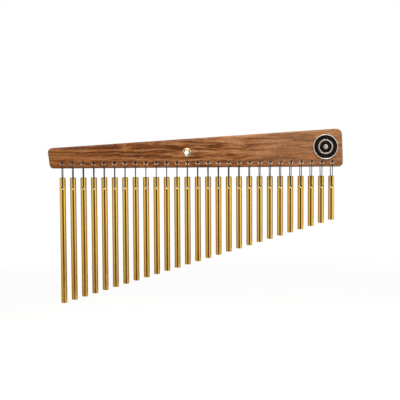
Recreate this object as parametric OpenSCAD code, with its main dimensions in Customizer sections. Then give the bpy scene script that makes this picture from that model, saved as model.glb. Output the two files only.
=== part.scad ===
// Bar chimes: a row of solid rods of falling length, each hung on a cord loop of its own from
// a tapered hardwood mantle. A lined hole in the mantle takes the bolt of a stand.
// X runs along the mantle towards its tall end, Y from front to back and Z up. The origin is
// the centre of the stand hole, in the middle of the mantle's thickness. All in millimetres.

/* [Rods] */
// Number of rods
chimes = 27; // [20:1:27]
// Distance from one rod to the next
pitch = 17.4; // [15:0.1:22]
// Diameter of a rod
rod_d = 10; // [8:0.1:11]
// Length of the longest rod, the first
longest = 211; // [160:1:260]
// Length of the shortest rod, the last
shortest = 74.5; // [50:0.5:120]
// Air between the mantle's bottom edge and the rods' tops
rod_drop = 15.7; // [12:0.1:25]
// Depth of a rod's cross hole below its top
rod_hole_depth = 17; // [14:0.1:24]
// Diameter of a rod's cross hole
rod_hole_d = 3; // [2.8:0.1:4.2]
// How far a cross hole's flared mouths widen it, and their depth
rod_flare = 1.7; // [0.9:0.1:2]
// Chamfer at both ends of a rod
rod_chamfer = 0.5; // [0.2:0.1:1]

/* [Mantle] */
// Height of the mantle at its low end
low_end_h = 33.5; // [31:0.1:45]
// Height at its tall end
tall_end_h = 64.4; // [60:0.1:85]
// Thickness, front to back
mantle_t = 19; // [16:0.5:24]
// Wood from the low end to the first rod's hole
low_end_wood = 23.8; // [20:0.1:35]
// Wood from the last rod's hole to the tall end
tall_end_wood = 18.7; // [14:0.1:30]
// Lean of the low end's face
low_end_lean = 7; // [0:0.5:10]
// Lean of the tall end's face
tall_end_lean = 2; // [0:0.5:6]
// Round of the mantle's edges, all the way round both faces
edge_round = 3; // [1.5:0.5:4]
// Corner radius at the bottom of the low end
low_bottom_round = 7; // [5:0.5:9]
// Corner radius at the top of the low end
low_top_round = 7; // [5:0.5:9]
// Corner radius at the top of the tall end
tall_top_round = 10; // [6:0.5:14]
// Corner radius at the bottom of the tall end
tall_bottom_round = 7.5; // [5:0.5:9]

/* [Cords] */
// Diameter of the braided cord
cord_d = 1.5; // [1.2:0.1:1.7]
// Height of the cord holes above the mantle's bottom edge
cord_hole_h = 8.5; // [7.5:0.1:11]
// Diameter of the cord holes in the mantle
cord_hole_d = 3.5; // [3:0.1:4]
// How far the countersinks widen the cord holes, and their depth
countersink = 2.4; // [1:0.1:2.8]
// Air left between a cord and the wood that it lies on
cord_gap = 0.3; // [0.2:0.05:0.4]
// Air above a cord in its rod's hole, which lets the rod rock
rock_gap = 0.6; // [0.5:0.05:0.7]
// Radius of a cord's bend over the mantle's countersink, on its centre line
mantle_bend_r = 2.5; // [2.2:0.1:2.8]
// Radius of a cord's bend in a rod's flared mouth
rod_bend_r = 2.4; // [2.2:0.1:2.8]
// How far inside the rod's surface that bend starts
rod_bend_inset = 1; // [0.8:0.05:1.2]
// Radius at which a cord turns inwards below the mantle
kink_r = 6; // [4:0.5:10]
// Height of that turn above the mantle's bottom edge
kink_h = 1.1; // [0.5:0.1:1.5]
// Air left between the knot at the back and the wood
knot_gap = 0.5; // [0.4:0.05:0.8]
// Diameter of that knot
knot_d = 4; // [3:0.1:4.6]
// Length of the knot's two cut ends
tail_len = 5; // [4:0.5:8]
// Spread of each cut end from the vertical
tail_spread = 38; // [20:1:60]
// Lean of each cut end away from the wood
tail_lean = 12; // [0:1:30]

/* [Stand hole] */
// Number of the rod's hole that the stand hole stands over
stand_over = 13; // [8:1:18]
// How far the stand hole stands off that hole, towards the low end
stand_offset = 1; // [0:0.1:3]
// Height of the stand hole above the mantle's bottom edge
stand_hole_h = 25.3; // [24.5:0.1:28]
// Bore of the eyelet that lines the stand hole
stand_hole_d = 8.2; // [6.5:0.1:8.5]
// Wall of the eyelet's barrel
eyelet_wall = 0.8; // [0.5:0.1:1]
// Play between the eyelet's barrel and the wood or the washer
barrel_gap = 0.1; // [0.05:0.05:0.2]
// Diameter of the eyelet's domed front flange
flange_d = 15.3; // [14:0.1:17]
// Height of the dome
flange_h = 1.5; // [1.3:0.1:1.8]
// Distance from the bore to the crest of that flange
flange_crest = 1.1; // [0.6:0.1:1.2]
// Diameter of the washer at the back
washer_d = 16; // [14:0.1:17]
// Thickness of the washer
washer_t = 1; // [0.6:0.1:1.4]
// Radius of the eyelet's roll over the washer
roll_r = 1; // [0.9:0.05:1.2]

/* [Badge] */
// Diameter of the round badge
badge_d = 41.8; // [36:0.1:44]
// Width of its raised rim
rim_w = 1.4; // [1.2:0.1:3]
// Thickness of the badge at its rim
badge_t = 2.4; // [2:0.1:3.5]
// Thickness of its back plate under the enamel
badge_back_t = 1.1; // [0.8:0.1:1.3]
// Thickness of the enamel
enamel_t = 0.6; // [0.3:0.05:0.7]
// Diameter of the raised ring inside the enamel
ring_d = 25; // [18:0.5:30]
// Width of that ring
ring_w = 2.4; // [1:0.1:3]
// Diameter of the raised boss at the badge's centre
boss_d = 8; // [4:0.5:10]
// Seam between the enamel and the metal round it
enamel_gap = 0.05; // [0.02:0.01:0.1]
// Distance of the badge's centre from the tall end
badge_from_end = 30.3; // [27:0.1:34]
// Height of the badge's centre above the cord holes
badge_h = 25.1; // [24.9:0.1:26]

/* [Hidden] */
function two_digits(i) = i < 10 ? str("0", i) : str(i);
function rod_name(i) = str("chime_", two_digits(i));
function cord_name(i) = str("cord_", two_digits(i));
$fn = 64;
// Steps of a full turn on the mantle's rounded edges and corners
hull_steps = 32;
// How far a cut runs past the surface that it opens
overrun = 1;

// Mantle, in the plane of X and Z
bottom_z = -stand_hole_h;
function rod_x(i) = (i - stand_over) * pitch + stand_offset;
low_x = rod_x(1) - low_end_wood;
tall_x = rod_x(chimes) + tall_end_wood;
corners = [
    [low_x + low_end_h * tan(low_end_lean), bottom_z],
    [tall_x, bottom_z],
    [tall_x - tall_end_h * tan(tall_end_lean), bottom_z + tall_end_h],
    [low_x, bottom_z + low_end_h]
];
rounds = [low_bottom_round, tall_bottom_round, tall_top_round, low_top_round];
last = len(corners) - 1;
function unit(v) = v / norm(v);
// Centre of the round at corner i
function round_centre(i) =
    let (
        u = unit(corners[i == 0 ? last : i - 1] - corners[i]),
        v = unit(corners[i == last ? 0 : i + 1] - corners[i])
    )
    corners[i] + unit(u + v) * rounds[i] / sin(acos(u * v) / 2);
centres = [for (i = [0 : last]) round_centre(i)];

// Holes and rods
cord_hole_z = bottom_z + cord_hole_h;
rod_top_z = bottom_z - rod_drop;
rod_hole_z = rod_top_z - rod_hole_depth;
function rod_length(i) = longest - (i - 1) * (longest - shortest) / (chimes - 1);

// Cord loop, in the plane of Y and Z: it rests low in the mantle's hole, hangs down both faces,
// turns inwards below the mantle and passes through the rod's hole near the top of that hole.
cord_r = cord_d / 2;
strand_y = mantle_t / 2 + cord_gap + cord_r;
hang_z = cord_hole_z - cord_hole_d / 2 + cord_gap + cord_r;
kink_z = bottom_z + kink_h;
lift_z = rod_hole_z + rod_hole_d / 2 - rock_gap - cord_r;
mantle_bend = [strand_y - mantle_bend_r, hang_z - mantle_bend_r];
kink_bend = [strand_y - kink_r, kink_z];
rod_bend = [rod_d / 2 - rod_bend_inset, lift_z + rod_bend_r];
// Angle from the vertical of the line that touches both lower bends
strand_lean =
    let (span = kink_bend - rod_bend)
    acos((rod_bend_r - kink_r) / norm(span)) - atan2(span.y, span.x);
// Steps in which a cord turns through a right angle, and the sides of its section
bend_steps = 4;
cord_sides = 8;
function arc(centre, r, from, to, steps) = [
    for (k = [0 : steps])
        let (a = from + (to - from) * k / steps)
        centre + r * [cos(a), sin(a)]
];
// The loop's centre line: down its rear side, and up its front side in mirror image
rear_line = concat(
    arc(mantle_bend, mantle_bend_r, 90, 0, bend_steps),
    arc(kink_bend, kink_r, 0, -strand_lean, 1),
    arc(rod_bend, rod_bend_r, -strand_lean, -90, bend_steps)
);
half = len(rear_line);
loop_line = concat(rear_line, [
    for (k = [1 : half]) [-rear_line[half - k].x, rear_line[half - k].y]
]);

badge_x = tall_x - badge_from_end;
badge_z = cord_hole_z + badge_h;
field_r = badge_d / 2 - rim_w;
barrel_r = stand_hole_d / 2 + eyelet_wall;

wood = [0.56, 0.33, 0.19];
gold = [0.86, 0.68, 0.32];
braid = [0.2, 0.2, 0.22];
brass = [0.8, 0.66, 0.38];
pewter = [0.78, 0.77, 0.72];
enamel = [0.06, 0.06, 0.07];

// Turns a shape that is drawn in X and Y, and raised in Z, to face the front
module facing_front() {
    rotate([90, 0, 0]) children();
}

// The mantle's block: rings of round section at its corners, skinned over
module mantle_block() {
    facing_front()
        hull()
            for (i = [0 : last], side = [-1, 1])
                translate([centres[i].x, centres[i].y, side * (mantle_t / 2 - edge_round)])
                    rotate_extrude($fn = hull_steps)
                        translate([rounds[i] - edge_round, 0])
                            circle(r = edge_round, $fn = hull_steps);
}

// Hole for a cord, with a countersink in each face
module cord_hole() {
    r = cord_hole_d / 2;
    facing_front() {
        cylinder(h = mantle_t + 2 * overrun, r = r, center = true);
        for (side = [0, 1])
            mirror([0, 0, side])
                translate([0, 0, mantle_t / 2 - countersink])
                    cylinder(h = countersink + overrun, r1 = r, r2 = r + countersink + overrun);
    }
}

module mantle() {
    color(wood)
        difference() {
            mantle_block();
            facing_front()
                cylinder(h = mantle_t + 2 * overrun, r = barrel_r + barrel_gap, center = true);
            for (i = [1 : chimes])
                translate([rod_x(i), 0, cord_hole_z]) cord_hole();
        }
}

// Eyelet: a domed flange in front, a barrel through the wood and a roll over the washer
module stand_eyelet() {
    bore_r = stand_hole_d / 2;
    fall = flange_d / 2 - bore_r - flange_crest;
    dome_r = (pow(fall, 2) + pow(flange_h, 2)) / (2 * flange_h);
    color(brass)
        facing_front()
            rotate_extrude() {
                translate([bore_r, -mantle_t / 2 - washer_t])
                    square([eyelet_wall, mantle_t + washer_t]);
                translate([bore_r, mantle_t / 2])
                    square([flange_crest, flange_h - flange_crest]);
                intersection() {
                    translate([bore_r + flange_crest, mantle_t / 2 + flange_h - flange_crest])
                        circle(r = flange_crest);
                    translate([bore_r, mantle_t / 2 + flange_h - flange_crest])
                        square(flange_crest);
                }
                intersection() {
                    translate([bore_r + flange_crest, mantle_t / 2 + flange_h - dome_r])
                        circle(r = dome_r);
                    translate([bore_r + flange_crest, mantle_t / 2])
                        square([fall, flange_h]);
                }
                intersection() {
                    translate([bore_r + roll_r, -mantle_t / 2 - washer_t])
                        circle(r = roll_r);
                    translate([bore_r, -mantle_t / 2 - washer_t - roll_r])
                        square([2 * roll_r, roll_r]);
                }
            }
}

// Flat washer at the back, with its outer edge rounded
module eyelet_washer() {
    hole_r = barrel_r + barrel_gap;
    color(brass)
        facing_front()
            translate([0, 0, -mantle_t / 2 - washer_t])
                rotate_extrude() {
                    translate([hole_r, 0])
                        square([washer_d / 2 - washer_t / 2 - hole_r, washer_t]);
                    translate([washer_d / 2 - washer_t / 2, washer_t / 2])
                        circle(d = washer_t);
                }
}

// Cast badge: back plate, raised rim, and a ring and a boss that stand in the enamel
module badge_rim() {
    metal_t = badge_back_t + enamel_t;
    color(pewter)
        translate([badge_x, 0, badge_z])
            facing_front()
                translate([0, 0, mantle_t / 2])
                    rotate_extrude() {
                        square([badge_d / 2, badge_back_t]);
                        translate([field_r, 0])
                            square([rim_w, badge_t - rim_w / 2]);
                        intersection() {
                            translate([field_r + rim_w / 2, badge_t - rim_w / 2])
                                circle(d = rim_w);
                            translate([field_r, badge_t - rim_w / 2])
                                square([rim_w, rim_w / 2]);
                        }
                        translate([ring_d / 2 - ring_w, 0])
                            square([ring_w, metal_t]);
                        square([boss_d / 2, metal_t]);
                    }
}

// Enamel of the badge: a round field outside the ring and one inside it, round the boss
module badge_face() {
    outer_from = ring_d / 2 + enamel_gap;
    outer_to = field_r - enamel_gap;
    inner_from = boss_d / 2 + enamel_gap;
    inner_to = ring_d / 2 - ring_w - enamel_gap;
    color(enamel)
        translate([badge_x, 0, badge_z])
            facing_front()
                translate([0, 0, mantle_t / 2 + badge_back_t])
                    rotate_extrude() {
                        translate([outer_from, 0])
                            square([outer_to - outer_from, enamel_t]);
                        translate([inner_from, 0])
                            square([inner_to - inner_from, enamel_t]);
                    }
}

// Solid rod with chamfered ends and a cross hole with flared mouths
module rod(i) {
    r = rod_d / 2;
    l = rod_length(i);
    hole_r = rod_hole_d / 2;
    color(gold)
        translate([rod_x(i), 0, rod_top_z])
            difference() {
                rotate_extrude()
                    polygon([
                        [0, 0], [0, -l],
                        [r - rod_chamfer, -l], [r, -l + rod_chamfer],
                        [r, -rod_chamfer], [r - rod_chamfer, 0]
                    ]);
                translate([0, 0, -rod_hole_depth])
                    facing_front() {
                        cylinder(h = rod_d + 2 * overrun, r = hole_r, center = true);
                        for (side = [0, 1])
                            mirror([0, 0, side])
                                translate([0, 0, r - rod_flare])
                                    cylinder(
                                        h = rod_flare + overrun,
                                        r1 = hole_r,
                                        r2 = hole_r + rod_flare + overrun
                                    );
                    }
            }
}

// The closed loop: a ring of points square to the line at each of its points, skinned over
module loop() {
    count = len(loop_line);
    function at(k) = loop_line[(k + count) % count];
    rings = [
        for (k = [0 : count - 1])
            let (
                u = unit(at(k) - at(k - 1)),
                v = unit(at(k + 1) - at(k)),
                along = unit(u + v),
                out = [along.y, -along.x] / (u * along)
            )
            for (j = [0 : cord_sides - 1])
                let (a = 360 * (j + 1 / 2) / cord_sides, p = at(k) + out * cord_r * cos(a))
                [cord_r * sin(a), p.x, p.y]
    ];
    function corner(k, j) = (k % count) * cord_sides + j % cord_sides;
    faces = [
        for (k = [0 : count - 1], j = [0 : cord_sides - 1])
            [corner(k, j), corner(k, j + 1), corner(k + 1, j + 1), corner(k + 1, j)]
    ];
    polyhedron(points = rings, faces = faces);
}

// Knot where the loop leaves the hole at the back, with its two cut ends
module knot() {
    translate([0, mantle_t / 2 + knot_gap + knot_d / 2, cord_hole_z]) {
        sphere(d = knot_d);
        for (side = [-1, 1])
            rotate([180 + tail_lean, side * tail_spread, 0])
                cylinder(h = tail_len, r = cord_r);
    }
}

// Endless loop of cord, knotted at the back
module cord(i) {
    color(braid)
        translate([rod_x(i), 0, 0]) {
            loop();
            knot();
        }
}

mantle();
stand_eyelet();
eyelet_washer();
badge_rim();
badge_face();
for (i = [1 : chimes]) {
    rod(i);
    cord(i);
}
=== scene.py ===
"""Looks of the bar chimes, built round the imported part.

All objects are in metres in the part's own frame: X along the mantle towards its tall end, Y from
front to back and Z up, with the origin in the middle of the stand hole. Sizes in the classes of the
chimes are in millimetres, and each mesh is scaled to metres when it is made. Sizes in the finishes
and in the studio are in metres, apart from those whose names end in mm.
"""

import logging
import math
import random
from dataclasses import dataclass, field
from enum import Enum
from typing import Iterator, Sequence

import bmesh
import bpy
import numpy as np
from mathutils import Matrix, Vector


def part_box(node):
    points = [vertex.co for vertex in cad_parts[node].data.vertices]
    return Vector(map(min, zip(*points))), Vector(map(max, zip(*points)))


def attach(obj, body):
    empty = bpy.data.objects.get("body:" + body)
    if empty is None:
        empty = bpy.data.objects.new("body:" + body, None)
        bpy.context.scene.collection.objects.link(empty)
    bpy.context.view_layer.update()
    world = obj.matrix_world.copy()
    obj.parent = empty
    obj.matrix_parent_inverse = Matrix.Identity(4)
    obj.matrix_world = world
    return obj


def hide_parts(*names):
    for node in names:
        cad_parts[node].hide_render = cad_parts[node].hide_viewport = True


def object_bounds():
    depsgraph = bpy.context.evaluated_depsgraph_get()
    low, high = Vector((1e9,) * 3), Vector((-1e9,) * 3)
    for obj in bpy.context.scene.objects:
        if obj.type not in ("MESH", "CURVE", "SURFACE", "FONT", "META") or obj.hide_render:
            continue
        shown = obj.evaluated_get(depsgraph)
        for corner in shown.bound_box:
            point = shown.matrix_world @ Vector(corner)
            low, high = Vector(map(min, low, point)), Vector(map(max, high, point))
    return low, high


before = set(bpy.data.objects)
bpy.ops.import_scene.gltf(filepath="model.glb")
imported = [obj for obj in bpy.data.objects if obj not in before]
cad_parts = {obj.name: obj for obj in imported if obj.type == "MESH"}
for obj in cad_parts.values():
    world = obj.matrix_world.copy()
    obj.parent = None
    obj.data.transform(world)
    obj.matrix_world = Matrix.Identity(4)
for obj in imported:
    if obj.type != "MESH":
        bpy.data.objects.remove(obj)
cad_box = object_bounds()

log = logging.getLogger("bar_chimes")

MM = 0.001
FULL_TURN = 2 * math.pi
QUARTER_TURN = math.pi / 2
ON_THE_LINE = 1e-9
MIX_FIRST_COLOUR = 6
MIX_SECOND_COLOUR = 7
MIX_RESULT_COLOUR = 2
IMAGE_WIDTH_PX = 400

Point = tuple[float, float]
Place = tuple[float, float, float]
Colour = tuple[float, float, float]

WHITE: Colour = (1.0, 1.0, 1.0)


class Slot(Enum):
    """Material slots of the part's record."""

    WOOD = "mantle_wood"
    BRASS = "eyelet_brass"
    PEWTER = "badge_metal"
    ENAMEL = "badge_enamel"
    GOLD = "chime_gold"
    BRAID = "cord_braid"


@dataclass(frozen=True)
class Layout:
    """Sizes that several sub-assemblies share, in millimetres."""

    chimes: int = 27
    pitch: float = 17.4
    stand_over: int = 13
    stand_offset: float = 1.0
    tall_end_wood: float = 18.7
    thickness: float = 19.0
    bottom_z: float = -25.3
    cord_hole_h: float = 8.5
    cord_hole_d: float = 3.5
    countersink: float = 2.4
    rod_d: float = 10.0
    rod_drop: float = 15.7
    rod_hole_depth: float = 17.0
    rod_hole_d: float = 3.0

    @property
    def tall_end_x(self) -> float:
        """Place of the mantle's tall end in X."""
        return self.rod_x(self.chimes) + self.tall_end_wood

    @property
    def cord_hole_z(self) -> float:
        """Height of the cord holes."""
        return self.bottom_z + self.cord_hole_h

    @property
    def rod_top_z(self) -> float:
        """Height of the rods' tops."""
        return self.bottom_z - self.rod_drop

    @property
    def rod_hole_z(self) -> float:
        """Height of the rods' cross holes."""
        return self.rod_top_z - self.rod_hole_depth

    def rod_x(self, number: int) -> float:
        """Place of a rod in X."""
        return (number - self.stand_over) * self.pitch + self.stand_offset

    def numbers(self) -> Iterator[int]:
        """The rods' numbers, from the longest."""
        return iter(range(1, self.chimes + 1))


LAYOUT = Layout()


# Node trees


class Term:
    """A value in a node tree. Arithmetic with it adds Math nodes to the tree."""

    def __init__(self, maker: "TreeMaker", socket: bpy.types.NodeSocket) -> None:
        """Keeps the tree's maker and the socket that gives the value."""
        self.maker = maker
        self.socket = socket

    def __add__(self, other: "Plug") -> "Term":
        """Sum."""
        return self.maker.math("ADD", self, other)

    def __sub__(self, other: "Plug") -> "Term":
        """Difference."""
        return self.maker.math("SUBTRACT", self, other)

    def __rsub__(self, other: "Plug") -> "Term":
        """Difference with a plain number in front."""
        return self.maker.math("SUBTRACT", other, self)

    def __mul__(self, other: "Plug") -> "Term":
        """Product."""
        return self.maker.math("MULTIPLY", self, other)

    def __truediv__(self, other: "Plug") -> "Term":
        """Quotient."""
        return self.maker.math("DIVIDE", self, other)


Plug = Term | bpy.types.NodeSocket | float | int | tuple


class TreeMaker:
    """Adds nodes to a shader or geometry tree."""

    def __init__(self, tree: bpy.types.NodeTree) -> None:
        """Keeps the tree that the nodes go into."""
        self.tree = tree

    def node(self, kind: str, plugs: dict | None = None, **settings: object) -> bpy.types.Node:
        """Adds a node.

        Args:
            kind: Blender's name of the node's type.
            plugs: what goes into its inputs, by the name or number of the input.
            settings: its properties, set before its inputs.

        Returns:
            The node.
        """
        made = self.tree.nodes.new(kind)
        for name, value in settings.items():
            setattr(made, name, value)
        for key, value in (plugs or {}).items():
            self.plug(made.inputs[key], value)
        return made

    def plug(self, socket: bpy.types.NodeSocket, value: Plug) -> None:
        """Links a value to an input, or sets the input to a plain value.

        Args:
            socket: the input.
            value: a term or an output to link, or a number, text or tuple to set.
        """
        if isinstance(value, Term):
            value = value.socket
        if isinstance(value, bpy.types.NodeSocket):
            self.tree.links.new(value, socket)
        else:
            socket.default_value = value

    def term(self, node: bpy.types.Node, output: int | str = 0) -> Term:
        """An output of a node as a term."""
        return Term(self, node.outputs[output])

    def math(self, operation: str, *values: Plug) -> Term:
        """Result of a Math node."""
        return self.term(self.node("ShaderNodeMath", dict(enumerate(values)), operation=operation))

    def vector(self, x: Plug, y: Plug, z: Plug) -> Term:
        """A vector of three values."""
        return self.term(self.node("ShaderNodeCombineXYZ", {0: x, 1: y, 2: z}))

    def parts(self, vector: Plug) -> tuple[Term, Term, Term]:
        """The three values of a vector."""
        split = self.node("ShaderNodeSeparateXYZ", {0: vector})
        return self.term(split, 0), self.term(split, 1), self.term(split, 2)

    def clamp(self, value: Plug) -> Term:
        """The value, kept from 0 to 1."""
        return self.math("MINIMUM", self.math("MAXIMUM", value, 0.0), 1.0)

    def unsigned(self, value: Plug) -> Term:
        """The value without its sign."""
        return self.math("ABSOLUTE", value)

    def distance(self, first: Term, second: Term) -> Term:
        """Length of a flat vector with these two values."""
        return self.math("SQRT", first * first + second * second)


class ShaderMaker(TreeMaker):
    """Adds shader nodes that the finishes use."""

    def object_place(self) -> Term:
        """Place on the object, in metres."""
        return self.term(self.node("ShaderNodeTexCoord"), "Object")

    def attribute(self, name: str) -> Term:
        """A number that the mesh keeps at each point."""
        return self.term(self.node("ShaderNodeAttribute", attribute_name=name), "Fac")

    def noise(self, vector: Plug, scale: Plug = 1.0, detail: float = 2.0, rough: float = 0.5) -> Term:
        """Soft noise from 0 to 1."""
        plugs = {"Vector": vector, "Scale": scale, "Detail": detail, "Roughness": rough}
        return self.term(self.node("ShaderNodeTexNoise", plugs), 0)

    def remap(self, value: Plug, low: Plug, high: Plug, to_low: Plug = 0.0, to_high: Plug = 1.0) -> Term:
        """The value, moved from one range to another and kept inside it."""
        plugs = {0: value, 1: low, 2: high, 3: to_low, 4: to_high}
        return self.term(self.node("ShaderNodeMapRange", plugs, clamp=True), 0)

    def within(self, value: Plug, inner: Plug, outer: Plug) -> Term:
        """1 where the value is below the inner limit, falling to 0 at the outer one."""
        return self.remap(value, inner, outer, 1.0, 0.0)

    def ramp(self, value: Plug, stops: Sequence[tuple[float, Colour]]) -> Term:
        """Colour of a ramp at the value.

        Args:
            value: where on the ramp, from 0 to 1.
            stops: each stop's place and colour, in order.

        Returns:
            The colour.
        """
        made = self.node("ShaderNodeValToRGB", {0: value})
        band = made.color_ramp.elements
        while len(band) < len(stops):
            band.new(1.0)
        for element, (place, colour) in zip(band, stops):
            element.position = place
            element.color = (*colour, 1.0)
        return self.term(made, 0)

    def blend(self, share: Plug, first: Plug | Colour, second: Plug | Colour) -> Term:
        """Colour between two colours.

        Args:
            share: how much of the second colour, from 0 to 1.
            first: the first colour, a term or a plain colour.
            second: the second colour, likewise.

        Returns:
            The mixed colour.
        """
        plugs = {0: share}
        for key, colour in ((MIX_FIRST_COLOUR, first), (MIX_SECOND_COLOUR, second)):
            plugs[key] = colour if isinstance(colour, Term) else (*colour, 1.0)
        return self.term(self.node("ShaderNodeMix", plugs, data_type="RGBA"), MIX_RESULT_COLOUR)

    def bump(self, height: Plug, depth_mm: float, strength: float) -> Term:
        """Normal of a surface with small heights of a given depth."""
        plugs = {"Height": height, "Distance": depth_mm * MM, "Strength": strength}
        return self.term(self.node("ShaderNodeBump", plugs), 0)

    def mix_shaders(self, share: Plug, first: bpy.types.Node, second: bpy.types.Node) -> bpy.types.Node:
        """A shader between two others."""
        plugs = {0: share, 1: first.outputs[0], 2: second.outputs[0]}
        return self.node("ShaderNodeMixShader", plugs)

    def rays(self) -> tuple[Term, Term]:
        """Tells the camera's own view from reflections.

        Returns:
            1 for a ray that comes straight from the camera or through glass, and 1 for one that
            comes off a glossy surface.
        """
        path = self.node("ShaderNodeLightPath")
        camera, glass = (self.term(path, name) for name in ("Is Camera Ray", "Is Transmission Ray"))
        return self.math("MAXIMUM", camera, glass), self.term(path, "Is Glossy Ray")


class GeometryTree(TreeMaker):
    """A Geometry Nodes tree with named inputs, which ends in a plain mesh of one material."""

    def __init__(self, name: str, inputs: dict[str, str]) -> None:
        """Makes the tree and its inputs.

        Args:
            name: the tree's name.
            inputs: the type of each input, by its name. Geometry and Material are added.
        """
        super().__init__(bpy.data.node_groups.new(name, "GeometryNodeTree"))
        face = self.tree.interface
        face.new_socket("Geometry", in_out="OUTPUT", socket_type="NodeSocketGeometry")
        for socket, kind in {"Geometry": "Geometry", **inputs, "Material": "Material"}.items():
            face.new_socket(socket, in_out="INPUT", socket_type=f"NodeSocket{kind}")
        self.inlet = self.tree.nodes.new("NodeGroupInput")

    def given(self, name: str) -> Term:
        """The value of one of the tree's inputs."""
        return self.term(self.inlet, name)

    def position(self) -> tuple[Term, Term, Term]:
        """Place of the point at hand."""
        return self.parts(self.node("GeometryNodeInputPosition").outputs[0])

    def kept(self, name: str) -> Term:
        """A number that the geometry keeps at each point."""
        return self.term(self.node("GeometryNodeInputNamedAttribute", {"Name": name}, data_type="FLOAT"))

    def keep(self, geometry: Plug, name: str, value: Plug) -> Term:
        """The geometry, with a number kept at each point under a name."""
        plugs = {"Geometry": geometry, "Name": name, "Value": value}
        return self.term(self.node("GeometryNodeStoreNamedAttribute", plugs))

    def pick(self, index: Plug, choices: Sequence[Plug]) -> Term:
        """One of several numbers.

        Args:
            index: which one, from 0.
            choices: the numbers to choose from.

        Returns:
            The number chosen.
        """
        made = self.node("GeometryNodeIndexSwitch", data_type="FLOAT")
        while len(made.index_switch_items) < len(choices):
            made.index_switch_items.new()
        self.plug(made.inputs[0], index)
        for number, choice in enumerate(choices):
            self.plug(made.inputs[number + 1], choice)
        return self.term(made)

    def turned(self, sides: Plug, heights: Sequence[Plug], radii: Sequence[Plug]) -> Term:
        """A closed turned shape along Z.

        Args:
            sides: the sides of its section.
            heights: height of each of its rings, from the lowest.
            radii: radius of each ring.

        Returns:
            Its mesh.
        """
        steps = len(heights) - 1
        blank = self.node(
            "GeometryNodeMeshCylinder",
            {"Vertices": sides, "Side Segments": steps, "Radius": 1.0, "Depth": float(steps)},
        )
        x, y, z = self.position()
        ring = self.math("ROUND", z + steps / 2)
        radius = self.pick(ring, radii)
        place = self.vector(x * radius, y * radius, self.pick(ring, heights))
        return self.term(self.node("GeometryNodeSetPosition", {0: blank.outputs[0], "Position": place}))

    def laid_back(self, geometry: Plug) -> Term:
        """The geometry, with its Z laid along Y."""
        turn = (QUARTER_TURN, 0.0, 0.0)
        return self.term(self.node("GeometryNodeTransform", {0: geometry, "Rotation": turn}))

    def moved(self, geometry: Plug, place: Plug) -> Term:
        """The geometry, moved."""
        return self.term(self.node("GeometryNodeTransform", {0: geometry, "Translation": place}))

    def cut(self, block: Plug, cutter: Plug) -> Term:
        """Takes one mesh out of another.

        Args:
            block: what is cut.
            cutter: what is taken out of it.

        Returns:
            What is left of the block.
        """
        made = self.node("GeometryNodeMeshBoolean", operation="DIFFERENCE", solver="EXACT")
        self.plug(made.inputs["Mesh 1"], block)
        self.plug(made.inputs["Mesh 2"], cutter)
        return self.term(made)

    def end(self, geometry: Plug) -> None:
        """Ends the tree: instances become real and everything takes the material given.

        Args:
            geometry: what the tree has made.
        """
        real = self.node("GeometryNodeRealizeInstances", {0: geometry})
        plugs = {0: real.outputs[0], "Material": self.given("Material")}
        dressed = self.node("GeometryNodeSetMaterial", plugs)
        self.node("NodeGroupOutput", {0: dressed.outputs[0]})

    def run(self, name: str, start: bpy.types.Mesh, values: dict[str, object]) -> bpy.types.Object:
        """Runs the tree on a mesh.

        Args:
            name: the name of the new object.
            start: the mesh that the tree starts from.
            values: what its inputs are set to, by their names.

        Returns:
            An object with the result as its plain mesh, and no modifier.
        """
        piece = linked(name, start)
        modifier = piece.modifiers.new("tree", "NODES")
        modifier.node_group = self.tree
        for item in self.tree.interface.items_tree:
            if item.in_out == "INPUT" and item.name in values:
                modifier[item.identifier] = values[item.name]
        evaluated = piece.evaluated_get(bpy.context.evaluated_depsgraph_get())
        mesh = bpy.data.meshes.new_from_object(evaluated)
        mesh.name = name
        piece.modifiers.clear()
        piece.data = mesh
        return piece


def linked(name: str, data: bpy.types.ID) -> bpy.types.Object:
    """Puts a new object into the scene.

    Args:
        name: the object's name.
        data: its mesh, lamp or camera.

    Returns:
        The object.
    """
    made = bpy.data.objects.new(name, data)
    bpy.context.scene.collection.objects.link(made)
    return made


def blank_material(name: str) -> tuple[bpy.types.Material, ShaderMaker]:
    """Makes a material without nodes.

    Args:
        name: the material's name.

    Returns:
        The material, and a maker that adds nodes to it.
    """
    made = bpy.data.materials.new(name)
    made.use_nodes = True
    made.node_tree.nodes.clear()
    return made, ShaderMaker(made.node_tree)


# Effects that several finishes share


class SharedEffect:
    """A shader node group that finishes place in their materials with values of their own."""

    name = ""
    inputs: dict[str, str] = {}
    output = "Value"

    def draw(self, maker: ShaderMaker, given: dict[str, Term]) -> Term:
        """Draws the effect.

        Args:
            maker: the maker of the effect's group.
            given: the group's inputs, by their names.

        Returns:
            The effect's value.
        """
        raise NotImplementedError

    def group(self) -> bpy.types.NodeTree:
        """Makes the node group, at its first use.

        Returns:
            The group.
        """
        found = bpy.data.node_groups.get(self.name)
        if found:
            return found
        tree = bpy.data.node_groups.new(self.name, "ShaderNodeTree")
        for socket, kind in self.inputs.items():
            tree.interface.new_socket(socket, in_out="INPUT", socket_type=f"NodeSocket{kind}")
        tree.interface.new_socket(self.output, in_out="OUTPUT", socket_type="NodeSocketFloat")
        maker = ShaderMaker(tree)
        inlet = tree.nodes.new("NodeGroupInput")
        value = self.draw(maker, {name: maker.term(inlet, name) for name in self.inputs})
        maker.node("NodeGroupOutput", {0: value})
        return tree

    def place(self, maker: ShaderMaker, *values: Plug) -> Term:
        """Places the effect in a material.

        Args:
            maker: the material's maker.
            values: its inputs, in the order of the group's.

        Returns:
            The effect's value.
        """
        plugs = dict(zip(self.inputs, values, strict=True))
        return maker.term(maker.node("ShaderNodeGroup", plugs, node_tree=self.group()))


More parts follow.
